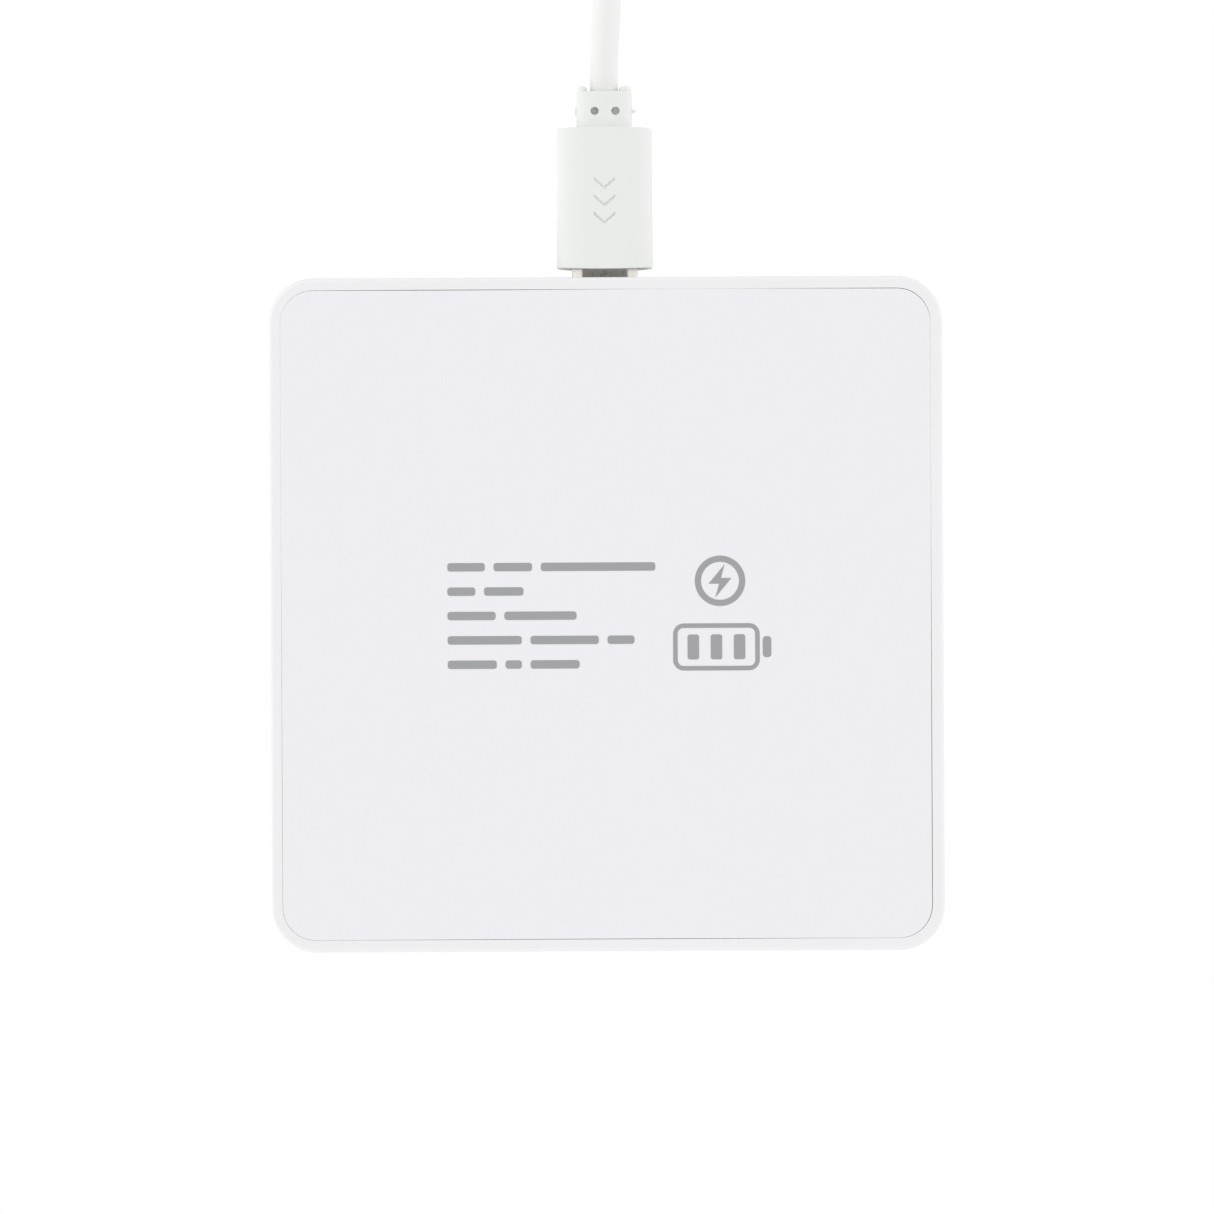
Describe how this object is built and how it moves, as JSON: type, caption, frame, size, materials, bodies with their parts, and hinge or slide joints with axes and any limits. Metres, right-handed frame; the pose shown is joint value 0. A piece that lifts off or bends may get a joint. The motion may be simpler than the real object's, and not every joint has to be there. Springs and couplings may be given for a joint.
{
  "type": "wireless charging pad",
  "caption": "Square wireless charging pad with rounded corners, a snap-in base plate and a coiled power cable whose plug slides out of a port in the side wall.",
  "frame": {"origin": "centre of the pad's flat underside", "axes": "+Z out of the charging face, +Y out of the side wall that holds the port, +X to the right when the port points away"},
  "size_m": [0.0798, 0.1523, 0.009],
  "materials": {
    "cover": "white moulded plastic with a fine even texture, semi-matt",
    "plate": "white moulded plastic, smoother than the cover, satin, faintly cool",
    "light_pipe": "clear to milky moulded plastic",
    "tape": "double-sided adhesive tape, dull pale amber",
    "copper": "enamelled stranded copper wire, semi-gloss",
    "ferrite": "dark grey sintered ferrite sheet, matt",
    "board": "green solder mask over glass-fibre board",
    "chip": "black moulded epoxy, matt",
    "capacitor": "tan ceramic, semi-matt",
    "lamp": "clear epoxy",
    "steel": "nickel-plated stamped steel, bright, with fine drawing marks",
    "insulator": "black moulded plastic",
    "contact": "gold-plated spring contact, bright",
    "plug": "white flexible overmoulding, matt with a slight sheen",
    "jacket": "white flexible cable jacket, matt with a slight sheen",
    "power_wire": "red wire insulation",
    "ground_wire": "black wire insulation"
  },
  "bodies": {
    "pad": {"top_cover": "cover", "base_plate": "plate", "status_light_pipe": "light_pipe", "coil_adhesive_ring": "tape", "transmitter_coil": "copper", "ferrite_shield": "ferrite", "shield_adhesive_disc": "tape", "circuit_board": "board", "controller_chip": "chip", "driver_chip_left": "chip", "driver_chip_right": "chip", "input_capacitor": "capacitor", "buffer_capacitor": "capacitor", "sense_resistor": "chip", "status_led": "lamp", "led_resistor": "chip", "resonant_capacitor_1": "capacitor", "resonant_capacitor_2": "capacitor", "resonant_capacitor_3": "capacitor", "resonant_capacitor_4": "capacitor", "board_screw_1": "steel", "board_screw_2": "steel", "board_screw_3": "steel", "board_screw_4": "steel", "port_shell": "steel", "port_tongue": "insulator", "port_contact_1": "contact", "port_contact_2": "contact", "port_contact_3": "contact", "port_contact_4": "contact", "port_contact_5": "contact"},
    "cable": {"micro_plug_body": "plug", "micro_plug_shell": "steel", "micro_plug_insulator": "insulator", "micro_plug_power_wire": "power_wire", "micro_plug_ground_wire": "ground_wire", "micro_plug_contact_1": "contact", "micro_plug_contact_2": "contact", "micro_plug_contact_3": "contact", "micro_plug_contact_4": "contact", "micro_plug_contact_5": "contact", "cable": "jacket", "large_plug_body": "plug", "large_plug_shell": "steel", "large_plug_insulator": "insulator", "large_plug_power_wire": "power_wire", "large_plug_ground_wire": "ground_wire", "large_plug_contact_1": "contact", "large_plug_contact_2": "contact", "large_plug_contact_3": "contact", "large_plug_contact_4": "contact"},
    "latch_left": {"micro_plug_latch_left": "steel"},
    "latch_right": {"micro_plug_latch_right": "steel"}
  },
  "joints": [
    {"name": "unplug", "type": "slide", "parent": "pad", "child": "cable", "axis": [0, 1, 0], "range_m": [0, 0.015]},
    {"name": "latch_left_press", "type": "hinge", "parent": "cable", "child": "latch_left", "pos_m": [-0.00225, 0.0373, 0.00348], "axis": [1, 0, 0], "range_deg": [0, 3]},
    {"name": "latch_right_press", "type": "hinge", "parent": "cable", "child": "latch_right", "pos_m": [0.00225, 0.0373, 0.00348], "axis": [1, 0, 0], "range_deg": [0, 3]}
  ]
}
